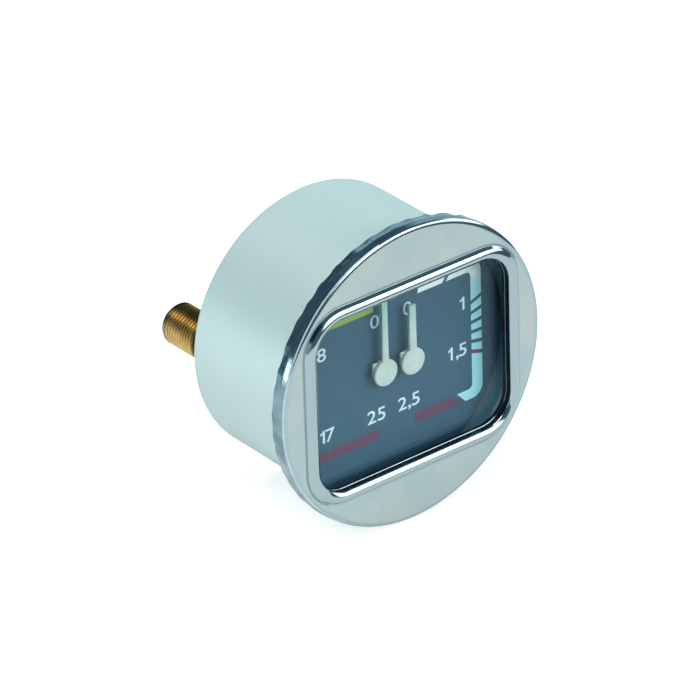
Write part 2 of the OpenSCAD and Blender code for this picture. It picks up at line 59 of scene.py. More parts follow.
camera_right = Vector((0.77605, -0.63009, -0.02714))
camera_up = Vector((0.32964, 0.36857, 0.86919))
camera_back = Vector((-0.53767, -0.68348, 0.49373))
aim = Vector((-0.00877, 0.00629, 0.00497))

camera_data = bpy.data.cameras.new("product_camera")
camera_data.sensor_width = SENSOR_WIDTH
camera_data.lens = FOCAL_LENGTH
camera_data.clip_end = 50
camera = bpy.data.objects.new("product_camera", camera_data)
bpy.context.scene.collection.objects.link(camera)
turn = Matrix((camera_right, camera_up, camera_back)).transposed().to_4x4()
camera.matrix_world = Matrix.Translation(aim + CAMERA_DISTANCE * camera_back) @ turn
bpy.context.scene.camera = camera
bpy.context.scene.view_settings.view_transform = "Standard"

# ---------------------------------------------------------------- node helpers


def add(tree, kind, x=0, y=0, **settings):
    """A shader node at a tidy place, with its settings."""
    node = tree.nodes.new(kind)
    node.location = (x, y)
    for key, value in settings.items():
        setattr(node, key, value)
    return node


def new_group(name, inputs, outputs):
    """An empty node group with named inputs and outputs."""
    tree = bpy.data.node_groups.new(name, "ShaderNodeTree")
    for label, kind, value in inputs:
        socket = tree.interface.new_socket(label, in_out="INPUT", socket_type=kind)
        if value is not None:
            socket.default_value = value
    for label, kind in outputs:
        tree.interface.new_socket(label, in_out="OUTPUT", socket_type=kind)
    return tree, add(tree, "NodeGroupInput", -800), add(tree, "NodeGroupOutput", 600)


def mottle_group():
    """Soft cloudy change between two colours, as on handled or passivated metal."""
    tree, enter, leave = new_group(
        "Mottle",
        [
            ("Vector", "NodeSocketVector", None),
            ("Scale", "NodeSocketFloat", 100.0),
            ("Contrast", "NodeSocketFloat", 0.5),
            ("Color A", "NodeSocketColor", (0.5, 0.5, 0.5, 1)),
            ("Color B", "NodeSocketColor", (0.6, 0.6, 0.6, 1)),
        ],
        [("Color", "NodeSocketColor"), ("Mask", "NodeSocketFloat")],
    )
    noise = add(tree, "ShaderNodeTexNoise", -560)
    noise.inputs["Detail"].default_value = 3
    noise.inputs["Roughness"].default_value = 0.55
    centred = add(tree, "ShaderNodeMath", -340, operation="SUBTRACT")
    centred.inputs[1].default_value = 0.5
    spread = add(tree, "ShaderNodeMath", -160, operation="MULTIPLY_ADD", use_clamp=True)
    spread.inputs[2].default_value = 0.5
    blend = add(tree, "ShaderNodeMix", 200, data_type="RGBA")
    link = tree.links.new
    link(enter.outputs["Vector"], noise.inputs["Vector"])
    link(enter.outputs["Scale"], noise.inputs["Scale"])
    link(noise.outputs["Fac"], centred.inputs[0])
    link(centred.outputs[0], spread.inputs[0])
    link(enter.outputs["Contrast"], spread.inputs[1])
    link(spread.outputs[0], blend.inputs["Factor"])
    link(enter.outputs["Color A"], blend.inputs["A"])
    link(enter.outputs["Color B"], blend.inputs["B"])
    link(blend.outputs["Result"], leave.inputs["Color"])
    link(spread.outputs[0], leave.inputs["Mask"])
    return tree


def grain_group():
    """Fine surface grain: a height, and a roughness that wanders a little."""
    tree, enter, leave = new_group(
        "Grain",
        [
            ("Vector", "NodeSocketVector", None),
            ("Scale", "NodeSocketFloat", 1500.0),
            ("Roughness", "NodeSocketFloat", 0.4),
            ("Wander", "NodeSocketFloat", 0.1),
        ],
        [("Height", "NodeSocketFloat"), ("Roughness", "NodeSocketFloat")],
    )
    fine = add(tree, "ShaderNodeTexNoise", -500, 200)
    fine.inputs["Detail"].default_value = 4
    slow = add(tree, "ShaderNodeVectorMath", -640, -120, operation="SCALE")
    slow.inputs["Scale"].default_value = 0.12
    broad = add(tree, "ShaderNodeTexNoise", -440, -120)
    broad.inputs["Detail"].default_value = 2
    centred = add(tree, "ShaderNodeMath", -220, -120, operation="SUBTRACT")
    centred.inputs[1].default_value = 0.5
    change = add(tree, "ShaderNodeMath", 0, -120, operation="MULTIPLY_ADD", use_clamp=True)
    link = tree.links.new
    link(enter.outputs["Vector"], fine.inputs["Vector"])
    link(enter.outputs["Scale"], fine.inputs["Scale"])
    link(enter.outputs["Vector"], slow.inputs[0])
    link(slow.outputs[0], broad.inputs["Vector"])
    link(enter.outputs["Scale"], broad.inputs["Scale"])
    link(broad.outputs["Fac"], centred.inputs[0])
    link(centred.outputs[0], change.inputs[0])
    link(enter.outputs["Wander"], change.inputs[1])
    link(enter.outputs["Roughness"], change.inputs[2])
    link(fine.outputs["Fac"], leave.inputs["Height"])
    link(change.outputs[0], leave.inputs["Roughness"])
    return tree


def rings_group():
    """Turning marks: fine uneven rings about the +Y axis of the vector."""
    tree, enter, leave = new_group(
        "Turning Rings",
        [("Vector", "NodeSocketVector", None), ("Scale", "NodeSocketFloat", 3000.0)],
        [("Height", "NodeSocketFloat")],
    )
    parts = add(tree, "ShaderNodeSeparateXYZ", -600)
    flat = add(tree, "ShaderNodeCombineXYZ", -440)
    radius = add(tree, "ShaderNodeVectorMath", -280, operation="LENGTH")
    along = add(tree, "ShaderNodeCombineXYZ", -100)
    noise = add(tree, "ShaderNodeTexNoise", 100)
    noise.inputs["Detail"].default_value = 3
    link = tree.links.new
    link(enter.outputs["Vector"], parts.inputs[0])
    link(parts.outputs["X"], flat.inputs["X"])
    link(parts.outputs["Z"], flat.inputs["Z"])
    link(flat.outputs[0], radius.inputs[0])
    link(radius.outputs["Value"], along.inputs["X"])
    link(parts.outputs["Y"], along.inputs["Y"])
    link(along.outputs[0], noise.inputs["Vector"])
    link(enter.outputs["Scale"], noise.inputs["Scale"])
    link(noise.outputs["Fac"], leave.inputs["Height"])
    return tree


def brushed_group():
    """Straight brush lines along one axis of the vector."""
    tree, enter, leave = new_group(
        "Brushed",
        [
            ("Vector", "NodeSocketVector", None),
            ("Stretch", "NodeSocketVector", (60, 3000, 3000)),
        ],
        [("Height", "NodeSocketFloat")],
    )
    long = add(tree, "ShaderNodeVectorMath", -400, operation="MULTIPLY")
    noise = add(tree, "ShaderNodeTexNoise", -100)
    noise.inputs["Scale"].default_value = 1
    noise.inputs["Detail"].default_value = 3
    link = tree.links.new
    link(enter.outputs["Vector"], long.inputs[0])
    link(enter.outputs["Stretch"], long.inputs[1])
    link(long.outputs[0], noise.inputs["Vector"])
    link(noise.outputs["Fac"], leave.inputs["Height"])
    return tree


MOTTLE = mottle_group()
GRAIN = grain_group()
RINGS = rings_group()
BRUSHED = brushed_group()


class Finish:
    """A material with one Principled shader, and effects that are added to it by name."""

    def __init__(self, name, color, metallic=0.0, roughness=0.4, **shader):
        self.material = bpy.data.materials.new(name)
        self.material.use_nodes = True
        self.tree = self.material.node_tree
        self.shader = self.tree.nodes["Principled BSDF"]
        self.shader.inputs["Base Color"].default_value = (*color, 1)
        self.shader.inputs["Metallic"].default_value = metallic
        self.shader.inputs["Roughness"].default_value = roughness
        for label, value in shader.items():
            self.shader.inputs[label.replace("_", " ")].default_value = value
        self.color = color
        self.roughness = roughness
        self.vector = add(self.tree, "ShaderNodeTexCoord", -1200).outputs["Object"]
        self.heights = []

    def link(self, a, b):
        self.tree.links.new(a, b)

    def group(self, tree, x, y, **values):
        """One of the shared node groups, with this finish's own values."""
        node = add(self.tree, "ShaderNodeGroup", x, y)
        node.node_tree = tree
        self.link(self.vector, node.inputs["Vector"])
        for label, value in values.items():
            node.inputs[label.replace("_", " ")].default_value = value
        return node

    def mottled(self, other, scale, contrast=2.0):
        """The colour drifts between the finish's own and another."""
        node = self.group(MOTTLE, -600, 300, Scale=scale, Contrast=contrast,
                          Color_A=(*self.color, 1), Color_B=(*other, 1))
        self.link(node.outputs["Color"], self.shader.inputs["Base Color"])
        return self

    def tint_and_painted_shade(self, axis, clear, full, color):
        """A colour multiplied in along an axis, from clear to full, in millimetres: a tint, and on
        the brass painted shade.
        """
        split = add(self.tree, "ShaderNodeSeparateXYZ", -1000, 700)
        rise = add(self.tree, "ShaderNodeMapRange", -800, 700, interpolation_type="SMOOTHSTEP")
        rise.inputs["From Min"].default_value = min(clear, full) * MM
        rise.inputs["From Max"].default_value = max(clear, full) * MM
        rise.inputs["To Min"].default_value = float(clear > full)
        rise.inputs["To Max"].default_value = float(clear < full)
        blend = add(self.tree, "ShaderNodeMix", -300, 500, data_type="RGBA", blend_type="MULTIPLY")
        blend.inputs["B"].default_value = (*color, 1)
        self.link(self.vector, split.inputs[0])
        self.link(split.outputs[axis], rise.inputs["Value"])
        self.link(rise.outputs["Result"], blend.inputs["Factor"])
        self.link(self.shader.inputs["Base Color"].links[0].from_socket, blend.inputs["A"])
        self.link(blend.outputs["Result"], self.shader.inputs["Base Color"])
        return self

    def shaded_in_grooves(self, x0, bottom, top, color):
        """Painted shade that stays low in a thread whose axis runs at x0 to each side, in
        millimetres.
        """
        split = add(self.tree, "ShaderNodeSeparateXYZ", -1400, 1000)
        side = add(self.tree, "ShaderNodeMath", -1240, 1000, operation="ABSOLUTE")
        off = add(self.tree, "ShaderNodeMath", -1080, 1000, operation="SUBTRACT")
        off.inputs[1].default_value = x0 * MM
        flat = add(self.tree, "ShaderNodeCombineXYZ", -920, 1000)
        out = add(self.tree, "ShaderNodeVectorMath", -760, 1000, operation="LENGTH")
        groove_shade = add(self.tree, "ShaderNodeMapRange", -600, 1000, interpolation_type="SMOOTHSTEP")
        groove_shade.inputs["From Min"].default_value = bottom * MM
        groove_shade.inputs["From Max"].default_value = top * MM
        groove_shade.inputs["To Min"].default_value = 1
        groove_shade.inputs["To Max"].default_value = 0
        blend = add(self.tree, "ShaderNodeMix", -300, 900, data_type="RGBA", blend_type="MULTIPLY")
        blend.inputs["B"].default_value = (*color, 1)
        self.link(self.vector, split.inputs[0])
        self.link(split.outputs["X"], side.inputs[0])
        self.link(side.outputs[0], off.inputs[0])
        self.link(off.outputs[0], flat.inputs["X"])
        self.link(split.outputs["Z"], flat.inputs["Y"])
        self.link(flat.outputs[0], out.inputs[0])
        self.link(out.outputs["Value"], groove_shade.inputs["Value"])
        self.link(groove_shade.outputs["Result"], blend.inputs["Factor"])
        self.link(self.shader.inputs["Base Color"].links[0].from_socket, blend.inputs["A"])
        self.link(blend.outputs["Result"], self.shader.inputs["Base Color"])
        return self

    def grained(self, scale, depth, wander=0.1):
        """Fine grain of a depth in millimetres, with a roughness that wanders."""
        node = self.group(GRAIN, -600, -100, Scale=scale, Roughness=self.roughness, Wander=wander)
        self.link(node.outputs["Roughness"], self.shader.inputs["Roughness"])
        self.bump(node.outputs["Height"], depth)
        return self

    def turned(self, scale, depth):
        """Turning marks of a depth in millimetres."""
        node = self.group(RINGS, -600, -400, Scale=scale)
        self.bump(node.outputs["Height"], depth)
        return self

    def brushed(self, stretch, depth):
        """Brush lines of a depth in millimetres, stretched along one axis."""
        node = self.group(BRUSHED, -600, -700, Stretch=stretch)
        self.bump(node.outputs["Height"], depth)
        return self

    def bump(self, height, depth):
        """Each bump node takes the last one's normal, so effects add up."""
        bump = add(self.tree, "ShaderNodeBump", -300 + 40 * len(self.heights), -300)
        bump.inputs["Distance"].default_value = depth * MM
        bump.inputs["Strength"].default_value = 1.0
        self.link(height, bump.inputs["Height"])
        if self.heights:
            self.link(self.heights[-1].outputs["Normal"], bump.inputs["Normal"])
        self.link(bump.outputs["Normal"], self.shader.inputs["Normal"])
        self.heights.append(bump)


# ---------------------------------------------------------------- finishes

case_satin = (
    Finish("Satin drawn steel", (0.60, 0.755, 0.705), metallic=0.45, roughness=0.42)
    .mottled((0.63, 0.765, 0.775), 40, 2.5)
    .grained(2500, 0.002, 0.06)
    .material)

plate_satin = (
    Finish("Satin bezel plate", (0.46, 0.58, 0.60), metallic=0.92, roughness=0.30)
    .mottled((0.53, 0.62, 0.585), 95, 3.5)
    .grained(1800, 0.003, 0.12)
    .material)

bead_polish = (
    Finish("Polished bead", (0.44, 0.55, 0.57), metallic=1.0, roughness=0.08)
    .grained(900, 0.002, 0.05)
    .material)

# Painted shade in the crease at the bead's foot, on its top and left only; the ridge on the lower
# wall takes the same dark, dull finish
crease_shade_and_dull_ridge = (
    Finish("Dull crease beside the bead", (0.25, 0.33, 0.36), metallic=1.0, roughness=0.45)
    .mottled((0.33, 0.41, 0.43), 200, 2.0)
    .grained(1200, 0.003, 0.1)
    .material)

# Painted shade: the bezel's wall above the lens is coloured near black
wall_painted_shade = (
    Finish("Painted shade on the wall above the lens", (0.001, 0.005, 0.009), roughness=0.22, Specular_IOR_Level=0.15)
    .mottled((0.003, 0.010, 0.016), 300, 2.0)
    .grained(1800, 0.002, 0.08)
    .material)

# Painted highlight: a pale, half-metallic line along the left of the rolled edge
painted_highlight_line = (
    Finish("Painted highlight line on the rolled edge", (0.66, 0.84, 0.88), metallic=0.3, roughness=0.3)
    .mottled((0.45, 0.60, 0.66), 260, 3.0)
    .grained(900, 0.003, 0.1)
    .material)

skirt_polish = (
    Finish("Crimped skirt", (0.33, 0.46, 0.50), metallic=1.0, roughness=0.14)
    .mottled((0.18, 0.29, 0.34), 260, 3.0)
    .grained(600, 0.03, 0.15)
    .material)

# Brass, with painted shade along its top, a painted shadow round its neck next to the case, painted
# shade low in the thread, and darker towards its end
brass = (
    Finish("Turned brass", (0.86, 0.60, 0.25), metallic=1.0, roughness=0.25)
    .mottled((0.62, 0.41, 0.15), 350, 3.0)
    .grained(1800, 0.003, 0.12)
    # painted shade along the top
    .tint_and_painted_shade("Z", 3.7, 4.8, (0.14, 0.13, 0.07))
    # painted shadow round the neck, next to the case
    .tint_and_painted_shade("Y", 37.8, 36.2, (0.12, 0.12, 0.10))
    # darker towards the end
    .tint_and_painted_shade("Y", 46.0, 47.0, (0.42, 0.47, 0.52))
    # painted shade low in the thread
    .shaded_in_grooves(23.5, 4.38, 4.78, (0.48, 0.44, 0.34))
    .material)

movement_brass = (
    Finish("Movement brass", (0.72, 0.54, 0.24), metallic=1.0, roughness=0.30)
    .mottled((0.64, 0.45, 0.18), 180, 2.0)
    .brushed((80, 2500, 2500), 0.004)
    .material)

tube_bronze = (
    Finish("Drawn bronze tube", (0.60, 0.37, 0.20), metallic=1.0, roughness=0.33)
    .mottled((0.45, 0.25, 0.13), 160, 2.5)
    .turned(2500, 0.004)
    .material)

shaft_steel = (
    Finish("Turned steel", (0.55, 0.56, 0.56), metallic=1.0, roughness=0.25)
    .mottled((0.45, 0.46, 0.47), 300, 2.0)
    .turned(4000, 0.002)
    .material)

screw_zinc = (
    Finish("Zinc plated screws", (0.52, 0.54, 0.52), metallic=1.0, roughness=0.35)
    .mottled((0.60, 0.58, 0.48), 400, 2.5)
    .grained(2500, 0.004, 0.15)
    .material)

spring_blue = (
    Finish("Blued spring strip", (0.20, 0.26, 0.40), metallic=1.0, roughness=0.28)
    .mottled((0.30, 0.24, 0.34), 500, 2.5)
    .grained(2500, 0.002, 0.1)
    .material)

gasket_rubber = (
    Finish("Black rubber", (0.025, 0.025, 0.027), roughness=0.62)
    .mottled((0.035, 0.035, 0.036), 200, 2.0)
    .grained(2000, 0.01, 0.15)
    .material)

dial_paint = (
    Finish("Dial paint", (0.019, 0.084, 0.150), roughness=0.6)
    .mottled((0.022, 0.091, 0.141), 120, 2.0)
    .material)

# The pale bands are near white at the top of the dial and turn blue further down
ink_pale = (
    Finish("Pale printing ink", (0.84, 0.95, 0.96), roughness=0.5)
    .mottled((0.88, 0.96, 0.97), 300, 2.0)
    .tint_and_painted_shade("Z", 14.6, 10.6, (0.45, 0.84, 0.89))
    .material)

ink_red = (
    Finish("Dark red printing ink", (0.100, 0.027, 0.080), roughness=0.5)
    .mottled((0.115, 0.032, 0.085), 400, 2.0)
    .material)

ink_yellow = (
    Finish("Yellow printing ink", (0.24, 0.40, 0.03), roughness=0.5)
    .mottled((0.28, 0.42, 0.04), 300, 2.0)
    .material)

ink_white = (
    Finish("White printing ink", (0.58, 0.80, 0.86), roughness=0.5)
    .mottled((0.64, 0.84, 0.88), 600, 2.0)
    .material)

case_lacquer = (
    Finish("Dark lacquer inside the case", (0.055, 0.130, 0.180), roughness=0.6,
           Specular_IOR_Level=0.2)
    .mottled((0.070, 0.150, 0.200), 120, 2.0)
    .grained(2500, 0.004, 0.1)
    .material)

# The plastic is a little bluer and darker towards the pointers' tips
pointer_plastic = (
    Finish("Moulded pointer plastic", (0.46, 0.570, 0.52), roughness=0.42)
    .mottled((0.53, 0.645, 0.59), 400, 2.0)
    .tint_and_painted_shade("Z", 5, 18, (0.68, 0.97, 1.00))
    .grained(3000, 0.004, 0.1)
    .material)

# Clear glass: lamps shine straight through it on to the dial. Its index is low, so that the
# reflection doesn't wash out the dial.
LENS_IOR = 1.3

glass = Finish("Clear lens glass", (0.93, 0.98, 0.985), roughness=0.015)
glass.shader.inputs["Transmission Weight"].default_value = 1
glass.shader.inputs["IOR"].default_value = LENS_IOR
glass.shader.inputs["Specular Tint"].default_value = (0.5, 0.85, 1, 1)
path = add(glass.tree, "ShaderNodeLightPath", 100, 300)
clear = add(glass.tree, "ShaderNodeBsdfTransparent", 100, -200)
either = add(glass.tree, "ShaderNodeMixShader", 400)
glass_out = glass.tree.nodes["Material Output"]
glass_out.location = (600, 0)
glass.link(path.outputs["Is Shadow Ray"], either.inputs["Fac"])
glass.link(glass.shader.outputs["BSDF"], either.inputs[1])
glass.link(clear.outputs["BSDF"], either.inputs[2])
glass.link(either.outputs["Shader"], glass_out.inputs["Surface"])

# ---------------------------------------------------------------- modelling helpers

MERGE = 0.000001


def start():
    """Leaves edit mode and deselects everything."""
    if bpy.context.object and bpy.context.object.mode == "EDIT":
        bpy.ops.object.mode_set(mode="OBJECT")
    bpy.ops.object.select_all(action="DESELECT")


def activate(piece):
    """Selects one piece alone and makes it active."""
    start()
    piece.select_set(True)
    bpy.context.view_layer.objects.active = piece


def edit(piece):
    """Opens a piece in edit mode, with vertices to select."""
    activate(piece)
    bpy.ops.object.mode_set(mode="EDIT")
    bpy.ops.mesh.select_mode(type="VERT")


def named(name):
    """Names the active object, and sets its place in its mesh."""
    piece = bpy.context.object
    piece.name = name
    piece.data.name = name
    bpy.ops.object.transform_apply(location=True, rotation=True, scale=True)
    return piece


def pick(piece, test):
    """Selects the vertices whose place in millimetres passes the test."""
    bpy.ops.mesh.select_all(action="DESELECT")
    bpy.ops.object.mode_set(mode="OBJECT")
    for v in piece.data.vertices:
        v.select = bool(test(v.co.x / MM, v.co.y / MM, v.co.z / MM))
    bpy.ops.object.mode_set(mode="EDIT")


def rings(steps, last, centre=(0, 0)):
    """Extrudes the selected ring along the gauge's axis through each (radius, depth)."""
    radius, depth = last
    for r, y in steps:
        bpy.ops.mesh.extrude_region_move(
            TRANSFORM_OT_translate={"value": (0, (y - depth) * MM, 0)})
        k = r / radius
        bpy.ops.transform.resize(
            value=(k, 1, k), center_override=(centre[0] * MM, y * MM, centre[1] * MM))
        radius, depth = r, y


def arc(cx, cy, r, a0, a1, steps):
    """(radius, depth) along an arc of the section: 0 degrees points out, 90 points back."""
    return [(cx + r * math.cos(math.radians(a0 + (a1 - a0) * k / steps)),
             cy + r * math.sin(math.radians(a0 + (a1 - a0) * k / steps)))
            for k in range(steps + 1)]


def close_up():
    """Merges doubles on the open piece, turns its faces outwards and leaves edit mode."""
    bpy.ops.mesh.select_all(action="SELECT")
    bpy.ops.mesh.remove_doubles(threshold=MERGE)
    bpy.ops.mesh.normals_make_consistent(inside=False)
    bpy.ops.object.mode_set(mode="OBJECT")


def turned_piece(name, profile, count, centre=(0, 0)):
    """A closed solid of revolution, from the first end face of the profile to the last."""
    start()
    bpy.ops.mesh.primitive_circle_add(
        vertices=count, radius=profile[0][0] * MM, fill_type="NGON",
        location=(centre[0] * MM, profile[0][1] * MM, centre[1] * MM),
        rotation=(math.pi / 2, 0, 0))
    piece = named(name)
    edit(piece)
    bpy.ops.mesh.select_all(action="SELECT")
    rings(profile[1:], profile[0], centre)
    close_up()
    return piece


def smooth(piece, angle=35):
    """Shades a piece smooth over edges below an angle in degrees."""
    activate(piece)
    bpy.ops.object.shade_smooth_by_angle(angle=math.radians(angle))


def apply_modifier(piece, kind, **settings):
    """Adds a modifier with its settings and applies it."""
    activate(piece)
    modifier = piece.modifiers.new(kind.lower(), kind)
    for key, value in settings.items():
        setattr(modifier, key, value)
    bpy.ops.object.modifier_apply(modifier=modifier.name)


def join(name, *pieces):
    """Joins pieces into the first, and renames it."""
    start()
    for p in pieces:
        p.select_set(True)
    bpy.context.view_layer.objects.active = pieces[0]
    bpy.ops.object.join()
    pieces[0].name = name
    pieces[0].data.name = name
    return pieces[0]


def dressed(piece, materials, body, slot, *replaced):
    """Gives a piece its materials, its body and the nodes it replaces. The slot is not used."""
    piece.data.materials.clear()
    for m in materials if isinstance(materials, list) else [materials]:
        piece.data.materials.append(m)
    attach(piece, body)
    if replaced:
        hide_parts(*replaced)


def paint_faces(piece, choose):
    """Gives each face the material number that choose returns for its centre and normal."""
    for face in piece.data.polygons:
        c = face.center / MM
        face.material_index = choose(c.x, c.y, c.z, face.normal)


# ---------------------------------------------------------------- case

CASE_R = 31.5
CASE_IN_R = 30.7
BACK_Y = 32.2
BACK_IN_Y = 31.4
CORNER_Y = 31.2
CORNER_AT_R = 30.5
CORNER_R = 1.0
CORNER_IN_R = 0.2
FLANGE_R = 35.0
FLANGE_BACK_Y = -0.5
FLANGE_FRONT_Y = -1.05
LACQUER_R = 30.85
CASE_SIDES = 192

case = turned_piece("case_shell", (
    [(2, BACK_Y), (15, BACK_Y), (30.2, BACK_Y)]
    + arc(CORNER_AT_R, CORNER_Y, CORNER_R, 90, 0, 8)
    + [(CASE_R, 30.9), (CASE_R, 14), (CASE_R, 0.3), (CASE_R, 0), (CASE_R, FLANGE_BACK_Y)]
    + [(FLANGE_R, FLANGE_BACK_Y), (FLANGE_R, FLANGE_FRONT_Y), (30.9, FLANGE_FRONT_Y)]
    + [(CASE_IN_R, -0.9), (CASE_IN_R, 30.9)]
    + arc(CORNER_AT_R, CORNER_Y, CORNER_IN_R, 0, 90, 4)
    + [(30.2, BACK_IN_Y), (15, BACK_IN_Y), (2, BACK_IN_Y)]), CASE_SIDES)
smooth(case)
dressed(case, [case_satin, case_lacquer], "housing", "case_steel", "case")
paint_faces(case, lambda x, y, z, n: int(math.hypot(x, z) < LACQUER_R and y < BACK_IN_Y + 0.1))

# ---------------------------------------------------------------- bezel

BEZEL_R = 35.65
FACE_Y = -4.2
WINDOW_W = 53.0
WINDOW_H = 41.7
WINDOW_R = 7.2
BEAD_W = 3.4
FOOT = 0.02
BEAD_OUT = BEAD_W + FOOT
PLATE_R = 34.34
PLATE_SIDES = 216
SKIRT_IN_R = 33.5
SHEET = 0.45

# The bead, from its outer foot to the lens: how far in, and how high above the flat face.
# It climbs steeply to its crest and falls gently towards the window, and low on the inner
# wall it has a thin ridge.
# How far in from the bead's foot the painted shade of the crease reaches
CREASE_SHADE_U = 0.62
BEAD = [
    (0.04, 0.00), (0.24, 0.02), (0.44, 0.04), (0.51, 0.08), (0.58, 0.145), (0.70, 0.275),
    (0.84, 0.44), (0.97, 0.59), (1.07, 0.69), (1.15, 0.755), (1.30, 0.845), (1.50, 0.95),
    (1.72, 1.053), (1.92, 1.137), (2.04, 1.17), (2.17, 1.195), (2.30, 1.205), (2.44, 1.19),
    (2.57, 1.14), (2.74, 1.055), (3.02, 0.895), (3.24, 0.755), (3.34, 0.665), (3.40, 0.57),
    (3.42, 0.45), (3.42, 0.00), (3.42, -0.88), (3.455, -0.90), (3.455, -1.00), (3.42, -1.04),
    (3.42, -1.86),
]

# The rolled edge, from the flat plate over a crease to the skirt, then the skirt and the lip
# that is folded in behind the case's flange: radius and depth
ROLL = [
    (34.46, -4.185), (34.62, -4.14), (34.80, -4.08), (34.98, -4.005), (35.12, -3.925),
    (35.24, -3.835), (35.36, -3.725), (35.46, -3.62), (35.51, -3.25), (35.555, -2.90),
    (35.60, -2.55), (35.65, -2.20),
]
SKIRT = [(35.65, -1.9), (35.62, -1.5), (35.60, -1.0), (35.55, -0.6)]
LIP = [(34.7, -0.05), (34.2, -0.05), (33.7, -0.05)]

start()
bpy.ops.mesh.primitive_plane_add(
    size=1, location=(0, FACE_Y * MM, 0), rotation=(math.pi / 2, 0, 0))
bpy.context.object.scale = (
    (WINDOW_W + 2 * BEAD_OUT) * MM, (WINDOW_H + 2 * BEAD_OUT) * MM, 1)
bezel = named("bezel_pressing")
edit(bezel)
bpy.ops.mesh.select_all(action="SELECT")
bpy.ops.mesh.bevel(offset=(WINDOW_R + BEAD_OUT) * MM, offset_type="OFFSET",
                   segments=16, profile=0.5, affect="VERTICES")
bpy.ops.mesh.select_mode(type="FACE")
bpy.ops.mesh.select_all(action="SELECT")
inward, height = 0.0, 0.0
for u, h in BEAD:
    bpy.ops.mesh.inset(thickness=(u - inward) * MM, depth=(h - height) * MM)
    inward, height = u, h
bpy.ops.mesh.delete(type="FACE")

# The flat plate fills the space between the bead's foot and a ring at the rolled edge. Of the
# open edges only those that lie in the face's plane are joined by it.
bpy.ops.mesh.select_mode(type="EDGE")
bpy.ops.mesh.primitive_circle_add(
    vertices=PLATE_SIDES, radius=PLATE_R * MM, location=(0, FACE_Y * MM, 0),
    rotation=(math.pi / 2, 0, 0))
bpy.ops.mesh.select_all(action="DESELECT")
bpy.ops.mesh.select_non_manifold(
    extend=False, use_wire=True, use_boundary=True, use_multi_face=False,
    use_non_contiguous=False, use_verts=False)
bpy.ops.object.mode_set(mode="OBJECT")
for e in bezel.data.edges:
    if e.select and any(abs(bezel.data.vertices[i].co.y / MM - FACE_Y) > 0.01 for i in e.vertices):
        e.select = False
bpy.ops.object.mode_set(mode="EDIT")
bpy.ops.mesh.fill(use_beauty=True)

# The rolled edge, the skirt and the lip are drawn out from the plate's outer ring
bpy.ops.mesh.select_mode(type="VERT")
pick(bezel, lambda x, y, z: abs(math.hypot(x, z) - PLATE_R) < 0.005)
rings(ROLL + SKIRT + arc(35.15, -0.45, 0.4, 8, 90, 4) + LIP, (PLATE_R, FACE_Y))

# Closing dents: the tool has pressed the skirt in, one place after another, and less deep at
# the lower left. Each step has its share of the dent's width, its start and its share of the
# dent's depth.
DENTS = 44
DENT_STEPS = ((1.0, -2.2, 0.30), (0.72, -1.8, 0.40), (0.45, -1.3, 0.30))

random.seed(7)
for k in range(DENTS):
    middle = 360 / DENTS * (k + random.uniform(-0.16, 0.16))
    half = random.uniform(2.6, 3.9)
    deep = random.uniform(0.16, 0.44) * (0.5 if 160 < middle < 300 else 1)
    for share, start_y, part in DENT_STEPS:
        pick(bezel, lambda x, y, z: math.hypot(x, z) > SKIRT_IN_R and y > start_y and abs(
            (math.degrees(math.atan2(z, x)) - middle + 180) % 360 - 180) < half * share)
        k_in = 1 - deep * part / BEZEL_R
        bpy.ops.transform.resize(value=(k_in, 1, k_in), center_override=(0, 0, 0))
close_up()

# The sheet's thickness goes inwards, so the face has to point to the front
plate_up = min(bezel.data.polygons, key=lambda f: abs(f.center.z / MM - 28) + abs(f.center.x / MM))
if plate_up.normal.y > 0:
    edit(bezel)
    bpy.ops.mesh.select_all(action="SELECT")
    bpy.ops.mesh.flip_normals()
    bpy.ops.object.mode_set(mode="OBJECT")
apply_modifier(bezel, "SOLIDIFY", thickness=SHEET * MM, offset=-1, use_even_offset=True)
smooth(bezel, 32)
dressed(bezel, [plate_satin, bead_polish, skirt_polish, wall_painted_shade, crease_shade_and_dull_ridge, painted_highlight_line],
        "housing", "bezel_steel", "bezel")

# The finishes in that order: the flat plate, the bead and the rolled edge, the skirt, the wall
# above the lens painted near black as shade, the painted shade in the crease at the bead's foot
# with the dull ridge on the wall, and the painted highlight line along the left of the rolled edge
PLAIN, POLISHED, CRIMPED, WALL_SHADE, CREASE_SHADE_AND_RIDGE, PAINTED_HIGHLIGHT = range(6)
SKIRT_TOP_Y = -3.58
RIDGE_DEPTH = 0.95
WALL_START = 0.42
WALL_TILT = -0.35
# Where the painted highlight line lies on the rolled edge: radius, depth and angle
HIGHLIGHT_LINE_R = (35.13, 35.35)
HIGHLIGHT_LINE_Y = -3.7
HIGHLIGHT_LINE_ANGLE = (104, 236)


